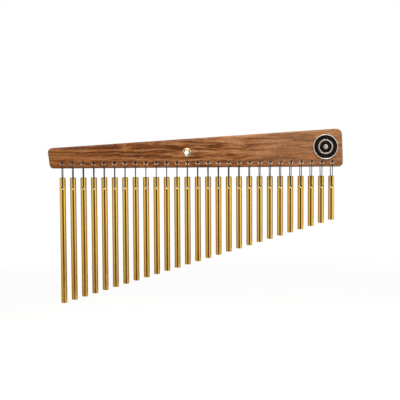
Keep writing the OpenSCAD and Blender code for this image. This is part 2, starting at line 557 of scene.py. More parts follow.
class FineMarks(SharedEffect):
    """Small marks drawn out along the axes: wood fibres, drawing lines on metal, the grain of a casting."""

    name = "fine_marks"
    inputs = {"Place": "Vector", "Across": "Vector", "Contrast": "Float"}
    detail = 3.0
    rough = 0.6

    def draw(self, maker: ShaderMaker, given: dict[str, Term]) -> Term:
        """Draws noise with as many marks a metre along each axis as Across says.

        Args:
            maker: the maker of the effect's group.
            given: the group's inputs, by their names.

        Returns:
            The noise, pushed apart from its middle by Contrast.
        """
        x, y, z = maker.parts(given["Place"])
        a, b, c = maker.parts(given["Across"])
        marks = maker.noise(maker.vector(x * a, y * b, z * c), detail=self.detail, rough=self.rough)
        return maker.clamp((marks - 0.5) * given["Contrast"] + 0.5)


class Handling(SharedEffect):
    """Roughness that differs a little over a surface, where hands and cloths have been."""

    name = "handling"
    inputs = {"Place": "Vector", "Smudges": "Float", "Smooth": "Float", "Dull": "Float"}
    output = "Roughness"
    detail = 3.0
    rough = 0.6
    smooth_below = 0.35
    dull_above = 0.68

    def draw(self, maker: ShaderMaker, given: dict[str, Term]) -> Term:
        """Draws roughness in smudges, of which Smudges go into a metre.

        Args:
            maker: the maker of the effect's group.
            given: the group's inputs, by their names.

        Returns:
            Roughness from Smooth to Dull.
        """
        broad = maker.noise(given["Place"], given["Smudges"], self.detail, self.rough)
        return maker.remap(broad, self.smooth_below, self.dull_above, given["Smooth"], given["Dull"])


class ToneByPiece(SharedEffect):
    """A value of its own for each chime of the row, for the small differences of one from the next."""

    name = "tone_by_piece"
    inputs = {"Place": "Vector", "Pitch": "Float", "Shift": "Float"}

    def draw(self, maker: ShaderMaker, given: dict[str, Term]) -> Term:
        """Draws one value for each stretch of X that is one Pitch long.

        Args:
            maker: the maker of the effect's group.
            given: the group's inputs, by their names.

        Returns:
            A random value from 0 to 1.
        """
        x, _, _ = maker.parts(given["Place"])
        number = maker.math("FLOOR", (x - given["Shift"]) / given["Pitch"] + 0.5)
        return maker.term(maker.node("ShaderNodeTexWhiteNoise", {"W": number}, noise_dimensions="1D"))


FINE_MARKS = FineMarks()
HANDLING = Handling()
TONE_BY_PIECE = ToneByPiece()


@dataclass(frozen=True)
class Marks:
    """Fine marks: how many go into a metre along each axis, and how far they stand out."""

    per_metre: Place
    contrast: float

    def on(self, maker: ShaderMaker, place: Term) -> Term:
        """The marks on a material, from 0 to 1."""
        return FINE_MARKS.place(maker, place, self.per_metre, self.contrast)


@dataclass(frozen=True)
class Cloud:
    """Soft patches: how many go into a metre along each axis, and how much detail they have."""

    per_metre: Place
    detail: float = 2.0

    def on(self, maker: ShaderMaker, place: Term) -> Term:
        """Draws the patches on a material.

        Args:
            maker: the material's maker.
            place: the place on the object.

        Returns:
            The patches, from 0 to 1.
        """
        x, y, z = maker.parts(place)
        a, b, c = self.per_metre
        return maker.noise(maker.vector(x * a, y * b, z * c), detail=self.detail)


@dataclass(frozen=True)
class Wear:
    """Roughness of a handled surface: its smudges in a metre, and how smooth and dull it gets."""

    smudges: float
    smooth: float
    dull: float

    def on(self, maker: ShaderMaker, place: Term) -> Term:
        """The roughness on a material."""
        return HANDLING.place(maker, place, self.smudges, self.smooth, self.dull)


@dataclass(frozen=True)
class Relief:
    """Small heights of a surface: how deep they are, in millimetres, and how strongly they shade."""

    depth_mm: float
    strength: float

    def normal(self, maker: ShaderMaker, height: Term) -> Term:
        """Normal of a material with these heights."""
        return maker.bump(height, self.depth_mm, self.strength)


@dataclass(frozen=True)
class Fade:
    """A level that changes between two places, or between two levels of another value."""

    start: float
    end: float
    level: float = 0.0
    to_level: float = 1.0

    def at(self, maker: ShaderMaker, value: Term) -> Term:
        """The level at a place or value."""
        return maker.remap(value, self.start, self.end, self.level, self.to_level)


# Finishes


@dataclass(frozen=True)
class Finish:
    """A procedural material on a Principled shader."""

    name: str
    slot: Slot

    def fixed(self) -> dict[str, object]:
        """Values that are the same all over the surface, by the shader's sockets."""
        raise NotImplementedError

    def draw(self, maker: ShaderMaker) -> dict[str, Term]:
        """Draws what changes over the surface.

        Args:
            maker: the material's maker.

        Returns:
            The values drawn, by the shader's sockets.
        """
        raise NotImplementedError

    def material(self) -> bpy.types.Material:
        """Makes the material, at its first use.

        Returns:
            The material.
        """
        found = bpy.data.materials.get(self.name)
        if found:
            return found
        made, maker = blank_material(self.name)
        shader = maker.node("ShaderNodeBsdfPrincipled", {**self.fixed(), **self.draw(maker)})
        maker.node("ShaderNodeOutputMaterial", {"Surface": shader.outputs[0]})
        return made


@dataclass(frozen=True)
class OiledHardwood(Finish):
    """Reddish-brown hardwood, sawn along the grain and oiled: wavy bands, fibres and open pores.

    A share that is a pair holds the plain wood's share and what the heart adds to it.
    """

    name: str = "oiled_hardwood"
    slot: Slot = Slot.WOOD
    row: Layout = LAYOUT
    dark: Colour = (0.112, 0.027, 0.004)
    warm: Colour = (0.22, 0.068, 0.013)
    mid: Colour = (0.32, 0.11, 0.026)
    light: Colour = (0.49, 0.215, 0.088)
    tones: tuple[float, float, float, float] = (0.30, 0.42, 0.52, 0.70)
    pore: Colour = (0.06, 0.015, 0.004)
    tan: Colour = (0.4, 0.2, 0.1)
    orange: Colour = (0.5, 0.16, 0.034)
    fleck: Colour = (0.6, 0.33, 0.15)
    # Painted shade for the rounded edges and the cord holes' bores.
    painted_shade: Colour = (0.05, 0.018, 0.006)
    # Bare cut wood of the countersinks, also used as painted light on their lower halves.
    bare_wood_lit: Colour = (0.74, 0.46, 0.275)
    middle_tone: float = 0.485
    centre_y: float = 0.06
    centre_z: float = 0.115
    bands_across: float = 270.0
    bands_along: float = 1.6
    bands_detail: float = 3.0
    sway: Cloud = Cloud((7.0, 10.0, 14.0))
    sway_by: float = 0.022
    ripple: Cloud = Cloud((34.0, 30.0, 46.0))
    ripple_by: float = 0.0035
    fibres: Marks = Marks((24.0, 620.0, 620.0), 1.6)
    fibres_share: float = 0.3
    fibres_height: float = 0.5
    patches: Cloud = Cloud((11.0, 16.0, 34.0))
    patches_share: float = 0.25
    streaks: Marks = Marks((42.0, 360.0, 360.0), 2.2)
    weave: Marks = Marks((26.0, 290.0, 290.0), 2.6)
    weave_share: Fade = Fade(-0.08, 0.04, 0.06, 0.5)
    heart_x: float = -0.06
    heart: Fade = Fade(0.03, 0.15, 1.0, 0.0)
    heart_dark: float = 0.055
    bands_share: Point = (0.78, 0.34)
    streaks_share: Point = (0.26, 0.1)
    # Painted shade towards the low end and painted light towards the tall end, as the light falls off along
    # the mantle.
    low_end_painted_shade: Fade = Fade(-0.19, -0.1, 0.045, 0.0)
    tall_end_painted_light: Fade = Fade(0.0, 0.15, 0.0, 0.025)
    tall_end_tan: Fade = Fade(0.06, 0.2, 0.0, 0.4)
    tan_sway: float = 0.12
    sapwood_up: Fade = Fade(0.01, 0.02)
    sapwood_along: Fade = Fade(-0.02, 0.08)
    sapwood_slope: float = 0.063
    sapwood_light: float = 0.08
    sapwood_pale: float = 0.12
    stain: Cloud = Cloud((26.0, 20.0, 60.0))
    stain_share: Fade = Fade(0.58, 0.74, 0.0, 0.5)
    glints: Marks = Marks((95.0, 800.0, 800.0), 2.4)
    glints_share: Fade = Fade(0.72, 0.95, 0.0, 0.6)
    specks: Marks = Marks((210.0, 420.0, 420.0), 2.0)
    specks_share: Fade = Fade(0.56, 0.8, 0.0, 0.7)
    specks_along: Fade = Fade(-0.02, 0.22, 0.25, 1.0)
    pores: Marks = Marks((130.0, 1900.0, 1900.0), 2.2)
    pores_share: Fade = Fade(0.66, 0.86, 0.0, 0.75)
    rounded: Fade = Fade(0.0083, 0.0092, 1.0, 0.0)
    # Painted shade on the rounded edges, strongest on the lower part of the mantle.
    rounded_painted_shade: Fade = Fade(0.0, 0.02, 0.3, 0.04)
    mouth_soft_mm: Point = (0.05, 0.2)
    bore_soft_mm: Point = (0.2, 0.7)
    face_soft_mm: Point = (0.12, 0.02)
    # Painted light on the countersinks' lower halves, weaker towards the low end.
    lower_lip_lit: Fade = Fade(-0.0016, 0.0008, 1.0, 0.3)
    lower_lip_lit_along: Fade = Fade(-0.22, -0.08, 0.4, 1.0)
    hole_share: float = 0.95
    wear: Wear = Wear(26.0, 0.4, 0.56)
    relief: Relief = Relief(0.12, 0.7)

    def fixed(self) -> dict[str, object]:
        """A thin coat of oil."""
        return {"Coat Weight": 0.03, "Coat Roughness": 0.3, "Specular IOR Level": 0.24}

    def drilled(self, maker: ShaderMaker, place: Term) -> tuple[Term, Term, Term]:
        """Finds the cord holes.

        Args:
            maker: the material's maker.
            place: the place on the mantle.

        Returns:
            How near a hole's mouth is, where its bore is, which is painted dark as shade, and how
            bare its countersinks are, with painted light on their lower halves.
        """
        x, y, z = maker.parts(place)
        row = self.row
        first, pitch, gaps = row.rod_x(1) * MM, row.pitch * MM, row.chimes - 1
        number = maker.math("ROUND", maker.clamp((x - first) / (pitch * gaps)) * gaps)
        up = z - row.cord_hole_z * MM
        far = maker.distance(x - first - number * pitch, up)
        bore_r, face_y = row.cord_hole_d / 2, row.thickness / 2
        mouth_r = bore_r + row.countersink
        near = maker.within(far, *((mouth_r + soft) * MM for soft in self.mouth_soft_mm))
        bore = maker.within(far, *((bore_r + soft) * MM for soft in self.bore_soft_mm))
        sunk = maker.within(maker.unsigned(y), *((face_y - soft) * MM for soft in self.face_soft_mm))
        # Painted light: the countersinks' lower halves lighter than their upper halves, less so towards the
        # low end.
        lower_lip_lit = self.lower_lip_lit.at(maker, up) * self.lower_lip_lit_along.at(maker, x)
        return near, bore, near * sunk * lower_lip_lit

    def figure(self, maker: ShaderMaker, place: Term, sway: Term) -> Term:
        """Draws the bands round a centre that runs along the mantle.

        Args:
            maker: the material's maker.
            place: the place on the mantle.
            sway: how the bands sway, about 0.

        Returns:
            The bands, from 0 to 1.
        """
        x, y, z = maker.parts(place)
        ripple = self.ripple.on(maker, place) - 0.5
        out = maker.distance(y + self.centre_y, z + self.centre_z)
        swayed = out + sway * self.sway_by + ripple * self.ripple_by
        across = maker.vector(x * self.bands_along, swayed * self.bands_across, 0.0)
        return maker.noise(across, detail=self.bands_detail)

    # The tone holds painted shade towards the low end and painted light towards the tall end.
    def tone(self, maker: ShaderMaker, place: Term, sway: Term, fibres: Term) -> Term:
        """Draws how light the wood is before its stains, specks and pores.

        Args:
            maker: the material's maker.
            place: the place on the mantle.
            sway: how the bands sway, about 0.
            fibres: the wood's fibres, from 0 to 1.

        Returns:
            The tone.
        """
        x, _, _ = maker.parts(place)
        bands = self.figure(maker, place, sway) - 0.5
        streaks = self.streaks.on(maker, place) - 0.5
        weave = self.weave.on(maker, place) - 0.5
        patches = self.patches.on(maker, place) - 0.5
        heart = self.heart.at(maker, maker.unsigned(x - self.heart_x))
        bands_share, streaks_share = (
            heart * more + plain for plain, more in (self.bands_share, self.streaks_share)
        )
        tone = bands * bands_share + streaks * streaks_share
        tone = tone + weave * self.weave_share.at(maker, x)
        tone = tone + (fibres - 0.5) * self.fibres_share + patches * self.patches_share + self.middle_tone
        # Painted shade at the low end and painted light at the tall end.
        tone = tone - heart * self.heart_dark - self.low_end_painted_shade.at(maker, x)
        return tone + self.tall_end_painted_light.at(maker, x)

    # Painted shade on the rounded edges and in the holes' bores, and painted light on the countersinks' lower
    # halves, go in with the wood's own colours.
    def draw(self, maker: ShaderMaker) -> dict[str, Term]:
        """Draws the wood: its tone, its tan and pale stretches, stains, specks, pores and holes.

        Args:
            maker: the material's maker.

        Returns:
            The values drawn, by the shader's sockets.
        """
        place = maker.object_place()
        x, y, z = maker.parts(place)
        sway = self.sway.on(maker, place) - 0.5
        fibres = self.fibres.on(maker, place)
        sapwood = self.sapwood_up.at(maker, z - x * self.sapwood_slope) * self.sapwood_along.at(maker, x)
        tone = self.tone(maker, place, sway, fibres) + sapwood * self.sapwood_light
        wood = maker.ramp(tone, list(zip(self.tones, (self.dark, self.warm, self.mid, self.light))))
        stain = self.stain_share.at(maker, self.stain.on(maker, place))
        glints = self.glints_share.at(maker, self.glints.on(maker, place))
        specks = self.specks_share.at(maker, self.specks.on(maker, place)) * self.specks_along.at(maker, x)
        pores = self.pores_share.at(maker, self.pores.on(maker, place))
        near, bore, bare = self.drilled(maker, place)
        # Painted shade on the rounded edges, strongest low down, where they face away from the light.
        edge = self.rounded.at(maker, maker.unsigned(y)) * self.rounded_painted_shade.at(maker, z)
        for share, colour in (
            (self.tall_end_tan.at(maker, x + sway * self.tan_sway), self.tan),
            (sapwood * self.sapwood_pale, self.fleck),
            (stain, self.orange),
            (glints, self.fleck),
            (specks, self.warm),
            (pores, self.pore),
            # Painted shade: the rounded edges and the holes' bores darkened.
            (edge * (1.0 - near) + bore * self.hole_share, self.painted_shade),
            # Bare cut wood in the countersinks, with painted light on their lower halves.
            (bare * (1.0 - bore) * self.hole_share, self.bare_wood_lit),
        ):
            wood = maker.blend(share, wood, colour)
        normal = self.relief.normal(maker, fibres * self.fibres_height - pores)
        return {"Base Color": wood, "Roughness": self.wear.on(maker, place), "Normal": normal}


@dataclass(frozen=True)
class GoldAnodised(Finish):
    """Polished aluminium rod with a gold anodised skin, and the fine lines it was drawn with."""

    name: str = "gold_anodised"
    slot: Slot = Slot.GOLD
    row: Layout = LAYOUT
    yellow: Colour = (0.90, 0.60, 0.12)
    pale: Colour = (0.90, 0.615, 0.19)
    edge: Colour = (0.62, 0.36, 0.1)
    bare: Colour = (0.92, 0.68, 0.25)
    tone_share: float = 0.7
    cloud_share: float = 0.3
    clouds: float = 16.0
    flare_r_mm: float = 3.2
    flare_soft_mm: float = 0.2
    flare_skin_mm: Point = (0.08, 0.03)
    lines: Marks = Marks((2600.0, 2600.0, 7.0), 1.5)
    lines_rough: float = 0.04
    flare_rough: float = 0.34
    wear: Wear = Wear(45.0, 0.1, 0.16)
    relief: Relief = Relief(0.004, 0.6)

    def fixed(self) -> dict[str, object]:
        """Metal under a stained skin, which stays deep in colour where it is seen at a slant."""
        return {"Metallic": 1.0, "Specular Tint": (*self.edge, 1.0)}

    def flared(self, maker: ShaderMaker, place: Term) -> Term:
        """Finds the flared mouths of a rod's cross hole.

        Args:
            maker: the material's maker.
            place: the place on the rod.

        Returns:
            1 in the mouths and 0 on the rod's skin.
        """
        x, y, z = maker.parts(place)
        start, pitch = self.row.rod_x(1) * MM, self.row.pitch * MM
        along = x - start - maker.math("ROUND", (x - start) / pitch) * pitch
        radius = self.row.rod_d / 2
        below = maker.within(
            maker.distance(along, y), *((radius - skin) * MM for skin in self.flare_skin_mm)
        )
        away = maker.unsigned(z - self.row.rod_hole_z * MM)
        end = (self.flare_r_mm + self.flare_soft_mm) * MM
        return below * maker.within(away, self.flare_r_mm * MM, end)

    def draw(self, maker: ShaderMaker) -> dict[str, Term]:
        """Draws a tone of its own for each rod, lines along it, smudges and satin flared mouths.

        Args:
            maker: the material's maker.

        Returns:
            The values drawn, by the shader's sockets.
        """
        place = maker.object_place()
        tone = TONE_BY_PIECE.place(maker, place, self.row.pitch * MM, self.row.stand_offset * MM)
        flared = self.flared(maker, place)
        share = tone * self.tone_share + maker.noise(place, self.clouds) * self.cloud_share
        gold = maker.blend(flared, maker.blend(share, self.yellow, self.pale), self.bare)
        lines = self.lines.on(maker, place)
        dull = self.wear.on(maker, place) + lines * self.lines_rough + flared * self.flare_rough
        return {"Base Color": gold, "Roughness": dull, "Normal": self.relief.normal(maker, lines)}


@dataclass(frozen=True)
class CastMetal(Finish):
    """Bright cast or pressed metal with a faint grain, for the badge, the eyelet and its washer."""

    colour: Colour
    shade: Colour
    wear: Wear
    relief: Relief
    clouds: float = 190.0
    clouds_detail: float = 3.0
    clouds_rough: float = 0.6
    tarnish: Fade = Fade(0.38, 0.72, 0.0, 0.45)
    grain: Marks = Marks((1500.0, 1500.0, 1500.0), 1.4)

    def fixed(self) -> dict[str, object]:
        """Bare metal."""
        return {"Metallic": 1.0}

    def draw(self, maker: ShaderMaker) -> dict[str, Term]:
        """Draws a faint tarnish in clouds, smudges, and the grain of the casting.

        Args:
            maker: the material's maker.

        Returns:
            The values drawn, by the shader's sockets.
        """
        place = maker.object_place()
        cloud = maker.noise(place, self.clouds, self.clouds_detail, self.clouds_rough)
        metal = maker.blend(self.tarnish.at(maker, cloud), self.colour, self.shade)
        normal = self.relief.normal(maker, self.grain.on(maker, place))
        return {"Base Color": metal, "Roughness": self.wear.on(maker, place), "Normal": normal}


@dataclass(frozen=True)
class BlackEnamel(Finish):
    """Black enamel, poured and fired: glossy, with a faint unevenness."""

    name: str = "black_enamel"
    slot: Slot = Slot.ENAMEL
    black: Colour = (0.003, 0.0035, 0.004)
    haze: Colour = (0.008, 0.009, 0.011)
    clouds: float = 120.0
    clouds_detail: float = 3.0
    clouds_rough: float = 0.6
    swell: Marks = Marks((260.0, 260.0, 260.0), 1.0)
    wear: Wear = Wear(160.0, 0.12, 0.24)
    relief: Relief = Relief(0.03, 0.5)

    def fixed(self) -> dict[str, object]:
        """A clear gloss."""
        return {"Coat Weight": 0.35, "Coat Roughness": 0.06}

    def draw(self, maker: ShaderMaker) -> dict[str, Term]:
        """Draws a faint haze, smudges, and a slow unevenness in its surface.

        Args:
            maker: the material's maker.

        Returns:
            The values drawn, by the shader's sockets.
        """
        place = maker.object_place()
        haze = maker.noise(place, self.clouds, self.clouds_detail, self.clouds_rough)
        enamel = maker.blend(haze, self.black, self.haze)
        normal = self.relief.normal(maker, self.swell.on(maker, place))
        return {"Base Color": enamel, "Roughness": self.wear.on(maker, place), "Normal": normal}


# Braided nylon whose colour holds painted shade between its plaits.
@dataclass(frozen=True)
class BraidedNylon(Finish):
    """Dark braided nylon: paler on the crowns of its plaits and dark between them."""

    name: str = "braided_nylon"
    slot: Slot = Slot.BRAID
    row: Layout = LAYOUT
    # Painted shade: the dark between the plaits, against their paler crowns.
    between: Colour = (0.02, 0.02, 0.022)
    crown: Colour = (0.088, 0.083, 0.076)
    crown_share: float = 0.75
    fibres_share: float = 0.3
    tone_share: float = 0.1
    fibres: Marks = Marks((5200.0, 5200.0, 2400.0), 1.8)
    wear: Wear = Wear(300.0, 0.62, 0.82)
    relief: Relief = Relief(0.05, 0.8)

    def fixed(self) -> dict[str, object]:
        """The soft sheen of fibres."""
        return {"Sheen Weight": 0.06, "Sheen Roughness": 0.4, "Specular IOR Level": 0.25}

    def draw(self, maker: ShaderMaker) -> dict[str, Term]:
        """Draws the colour by the height of the plaits, with single fibres on them.

        Args:
            maker: the material's maker.

        Returns:
            The values drawn, by the shader's sockets.
        """
        place = maker.object_place()
        fibres = self.fibres.on(maker, place)
        tone = TONE_BY_PIECE.place(maker, place, self.row.pitch * MM, self.row.stand_offset * MM)
        # Painted shade between the plaits: the colour follows the height of the crowns.
        share = maker.attribute("crown") * self.crown_share + fibres * self.fibres_share
        share = maker.clamp(share + (tone - 1.0) * self.tone_share)
        braid = maker.blend(share, self.between, self.crown)
        normal = self.relief.normal(maker, fibres)
        return {"Base Color": braid, "Roughness": self.wear.on(maker, place), "Normal": normal}


HARDWOOD = OiledHardwood()
GOLD = GoldAnodised()
BRASS = CastMetal(
    name="pressed_brass",
    slot=Slot.BRASS,
    colour=(0.68, 0.51, 0.28),
    shade=(0.5, 0.34, 0.16),
    wear=Wear(140.0, 0.2, 0.34),
    relief=Relief(0.004, 0.7),
)
PEWTER = CastMetal(
    name="cast_pewter",
    slot=Slot.PEWTER,
    colour=(0.86, 0.80, 0.71),
    shade=(0.66, 0.61, 0.54),
    wear=Wear(140.0, 0.34, 0.48),
    relief=Relief(0.01, 0.7),
)
ENAMEL = BlackEnamel()
BRAID = BraidedNylon()


# Meshes


def arc(centre: Point, radius: float, start: float, end: float, steps: int) -> list[Point]:
    """Points on an arc.

    Args:
        centre: its centre.
        radius: its radius.
        start: angle of its first point, in degrees.
        end: angle of its last point, in degrees.
        steps: how many steps it has.

    Returns:
        One point more than there are steps.
    """
    angles = (math.radians(start + (end - start) * k / steps) for k in range(steps + 1))
    return [(centre[0] + radius * math.cos(a), centre[1] + radius * math.sin(a)) for a in angles]


def to_metres(points: Sequence[Sequence[float]]) -> list[tuple[float, ...]]:
    """Points in metres from points in millimetres."""
    return [tuple(value * MM for value in point) for point in points]


def closed_mesh(name: str, points: Sequence[Place], faces: Sequence[Sequence[int]]) -> bpy.types.Mesh:
    """Makes a closed mesh with its faces turned outwards.

    Args:
        name: the mesh's name.
        points: its points, in millimetres.
        faces: the points of each of its faces, by their numbers.

    Returns:
        The mesh, in metres.
    """
    mesh = bpy.data.meshes.new(name)
    mesh.from_pydata(to_metres(points), [], [tuple(face) for face in faces])
    shape = bmesh.new()
    shape.from_mesh(mesh)
    bmesh.ops.recalc_face_normals(shape, faces=shape.faces)
    shape.to_mesh(mesh)
    shape.free()
    return mesh


def smooth(mesh: bpy.types.Mesh, sharp_from: float) -> None:
    """Shades a mesh smooth, apart from the edges that turn by more than an angle in degrees."""
    mesh.shade_smooth()
    mesh.set_sharp_from_angle(angle=math.radians(sharp_from))


@dataclass
class Lathe:
    """Turns closed profiles about a line along Y."""

    x: float = 0.0
    z: float = 0.0
    steps: int = 128
    sharp_from: float = 40.0

    def ring(self, r: float, y: float) -> list[Place]:
        """The places that a profile's point passes, or one place if it is on the line."""
        turns = [FULL_TURN * k / self.steps for k in range(1 if self.on_line(r) else self.steps)]
        return [(self.x + r * math.cos(a), y, self.z + r * math.sin(a)) for a in turns]

    def on_line(self, r: float) -> bool:
        """Whether a distance from the line is nothing."""
        return abs(r) < ON_THE_LINE

    def turn(self, name: str, profiles: Sequence[Sequence[Point]], finish: Finish) -> bpy.types.Object:
        """Turns the profiles.

        Args:
            name: the name of the piece and its mesh.
            profiles: each one's points as (distance from the line, Y), in order round it. A profile
                that starts and ends on the line is closed by the line itself.
            finish: the piece's finish.

        Returns:
            The piece, smooth but for its corners.
        """
        points: list[Place] = []
        faces: list[tuple[int, ...]] = []
        for profile in profiles:
            rings: list[list[int]] = []
            for r, y in profile:
                first = len(points)
                points += self.ring(r, y)
                rings.append([first + (0 if self.on_line(r) else k) for k in range(self.steps)])
            pairs = list(zip(rings, rings[1:]))
            if not self.on_line(profile[0][0]):
                pairs.append((rings[-1], rings[0]))
            for low, high in pairs:
                for k in range(self.steps):
                    m = (k + 1) % self.steps
                    faces.append(tuple(dict.fromkeys((low[k], low[m], high[m], high[k]))))
        mesh = closed_mesh(name, points, faces)
        smooth(mesh, self.sharp_from)
        mesh.materials.append(finish.material())
        return linked(name, mesh)


def hand_over(piece: bpy.types.Object, body: str, node: str, finish: Finish) -> None:
    """Lets a finished piece ride on a body in place of a CAD node, and reports it.

    Args:
        piece: the piece.
        body: the body that it rides on.
        node: the CAD node that it stands for.
        finish: its finish, whose name is logged.
    """
    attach(piece, body)
    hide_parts(node)
    log.info("%s on %s: %d faces, %s", piece.name, body, len(piece.data.polygons), finish.name)


# The chimes


@dataclass
class Mantle:
    """The tapered hardwood bar, rounded over all round, with its cord holes and its stand hole."""

    layout: Layout
    low_end_h: float = 33.5
    tall_end_h: float = 64.4
    low_end_wood: float = 23.8
    low_end_lean: float = 7.0
    tall_end_lean: float = 2.0
    edge_round: float = 3.0
    rounds: tuple[float, float, float, float] = (7.0, 7.5, 10.0, 7.0)
    corner_steps: int = 24
    edge_steps: int = 8
    stand_bore_d: float = 10.0
    overrun: float = 1.0
    cord_drill_sides: int = 40
    stand_drill_sides: int = 96
    sharp_from: float = 32.0

    def corners(self) -> list[Vector]:
        """Works out the sharp corners of the outline.

        Returns:
            Their places in X and Z, from the bottom of the low end onwards.
        """
        low, tall = self.layout.rod_x(1) - self.low_end_wood, self.layout.tall_end_x
        bottom = self.layout.bottom_z
        low_in = self.low_end_h * math.tan(math.radians(self.low_end_lean))
        tall_in = self.tall_end_h * math.tan(math.radians(self.tall_end_lean))
        return [
            Vector((low + low_in, bottom)),
            Vector((tall, bottom)),
            Vector((tall - tall_in, bottom + self.tall_end_h)),
            Vector((low, bottom + self.low_end_h)),
        ]

    def outline(self) -> tuple[np.ndarray, np.ndarray, np.ndarray]:
        """Rounds the outline.

        Returns:
            For each of its points the centre of its round, the round's radius and the way out.
        """
        centres, radii, ways = [], [], []
        corners = self.corners()
        for i, corner in enumerate(corners):
            back = (corners[i - 1] - corner).normalized()
            on = (corners[(i + 1) % len(corners)] - corner).normalized()
            half = math.acos(back.dot(on)) / 2
            centre = corner + (back + on).normalized() * self.rounds[i] / math.sin(half)
            first = Vector((-back.y, back.x))
            last = Vector((on.y, -on.x))
            a = math.atan2(first.y, first.x)
            b = math.atan2(last.y, last.x)
            while b < a:
                b += FULL_TURN
            for k in range(self.corner_steps + 1):
                angle = a + (b - a) * k / self.corner_steps
                centres.append(centre)
                radii.append(self.rounds[i])
                ways.append((math.cos(angle), math.sin(angle)))
        return np.array(centres), np.array(radii), np.array(ways)

    def block(self) -> bpy.types.Mesh:
        """Makes the block.

        Returns:
            Rings of the outline, from the front face over the rounded edges to the back.
        """
        centres, radii, ways = self.outline()
        count = len(radii)
        half, e = self.layout.thickness / 2, self.edge_round
        turns = [QUARTER_TURN * k / self.edge_steps for k in range(self.edge_steps + 1)]
        front = [(e - e * math.sin(t), -half + e - e * math.cos(t)) for t in turns]
        rings = front + [(inset, -y) for inset, y in reversed(front)]
        points: list[Place] = []
        for inset, y in rings:
            flat = centres + (radii - inset)[:, None] * ways
            points += [(float(p[0]), y, float(p[1])) for p in flat]
        faces: list[Sequence[int]] = [range(count), range(len(points) - count, len(points))]
        for r in range(len(rings) - 1):
            for k in range(count):
                m = (k + 1) % count
                faces.append((r * count + k, r * count + m, (r + 1) * count + m, (r + 1) * count + k))
        return closed_mesh("mantle_block", points, faces)

    def drill_tree(self) -> GeometryTree:
        """Makes a tree that drills the row of countersunk cord holes and the stand hole.

        Returns:
            The tree.
        """
        sizes = ("Pitch", "Hole Radius", "Countersink", "Thickness", "Stand Radius", "Overrun")
        inputs = {"Holes": "Int", "First Hole": "Vector", **dict.fromkeys(sizes, "Float")}
        tree = GeometryTree("drill_mantle", inputs)
        pitch, radius, sink, thickness, stand, over = (tree.given(name) for name in sizes)
        face = thickness * 0.5
        out, into = face + over, face - sink
        wide = radius + sink + over
        heights = [out * -1, into * -1, into, out]
        drill = tree.laid_back(tree.turned(self.cord_drill_sides, heights, [wide, radius, radius, wide]))
        offset = tree.vector(pitch, 0.0, 0.0)
        line = {"Count": tree.given("Holes"), "Start Location": tree.given("First Hole"), "Offset": offset}
        row = tree.node("GeometryNodeMeshLine", line)
        drills = tree.node("GeometryNodeInstanceOnPoints", {"Points": row.outputs[0], "Instance": drill})
        bore = tree.laid_back(tree.turned(self.stand_drill_sides, [out * -1, out], [stand, stand]))
        both = tree.node("GeometryNodeJoinGeometry", {0: drills.outputs[0]})
        tree.plug(both.inputs[0], bore)
        cutters = tree.node("GeometryNodeRealizeInstances", {0: both.outputs[0]})
        tree.end(tree.cut(tree.given("Geometry"), tree.term(cutters)))
        return tree

    def build(self) -> None:
        """Builds the mantle, in place of its CAD node."""
        lay = self.layout
        values = {
            "Holes": lay.chimes,
            "First Hole": (lay.rod_x(1) * MM, 0.0, lay.cord_hole_z * MM),
            "Pitch": lay.pitch * MM,
            "Hole Radius": lay.cord_hole_d / 2 * MM,
            "Countersink": lay.countersink * MM,
            "Thickness": lay.thickness * MM,
            "Stand Radius": self.stand_bore_d / 2 * MM,
            "Overrun": self.overrun * MM,
            "Material": HARDWOOD.material(),
        }
        piece = self.drill_tree().run("mantle_hardwood", self.block(), values)
        smooth(piece.data, self.sharp_from)
        hand_over(piece, "root", "mantle", HARDWOOD)


@dataclass
class StandEyelet:
    """The pressed brass eyelet through the stand hole, and the washer that it is rolled over."""

    layout: Layout
    bore_r: float = 4.1
    wall: float = 0.8
    flange_r: float = 7.65
    flange_h: float = 1.5
    crest: float = 1.1
    washer_r: float = 8.0
    washer_t: float = 1.0
    roll_r: float = 1.0
    play: float = 0.1
    steps: int = 16

    def eyelet_profile(self) -> list[Point]:
        """Works out the eyelet's section: bore, roll at the back, barrel, and the dome in front.

        Returns:
            Its points.
        """
        front = -self.layout.thickness / 2
        back = self.layout.thickness / 2 + self.washer_t
        barrel_r = self.bore_r + self.wall
        roll = arc((self.bore_r + self.roll_r, back), self.roll_r, 180, 0, self.steps)
        top_r, top_y = self.bore_r + self.crest, front - self.flange_h
        fall = self.flange_r - top_r
        dome_r = (fall**2 + self.flange_h**2) / (2 * self.flange_h)
        low = math.degrees(math.asin(fall / dome_r))
        dome = arc((top_r, top_y + dome_r), dome_r, low - 90, -90, self.steps)
        lip = arc((top_r, top_y + self.crest), self.crest, -90, -180, self.steps)
        return roll + [(barrel_r, back), (barrel_r, front)] + dome + lip[1:]

    def washer_profile(self) -> list[Point]:
        """Works out the washer's section, with both outer edges rounded.

        Returns:
            Its points.
        """
        near = self.layout.thickness / 2
        hole = self.bore_r + self.wall + self.play
        half = self.washer_t / 2
        edge = arc((self.washer_r - half, near + half), half, -90, 90, self.steps)
        return [(hole, near), *edge, (hole, near + self.washer_t)]

    def build(self) -> None:
        """Builds both, in place of their CAD nodes."""
        profiles = {"stand_eyelet": self.eyelet_profile(), "eyelet_washer": self.washer_profile()}
        for node, profile in profiles.items():
            hand_over(Lathe().turn(f"{node}_brass", [profile], BRASS), "root", node, BRASS)


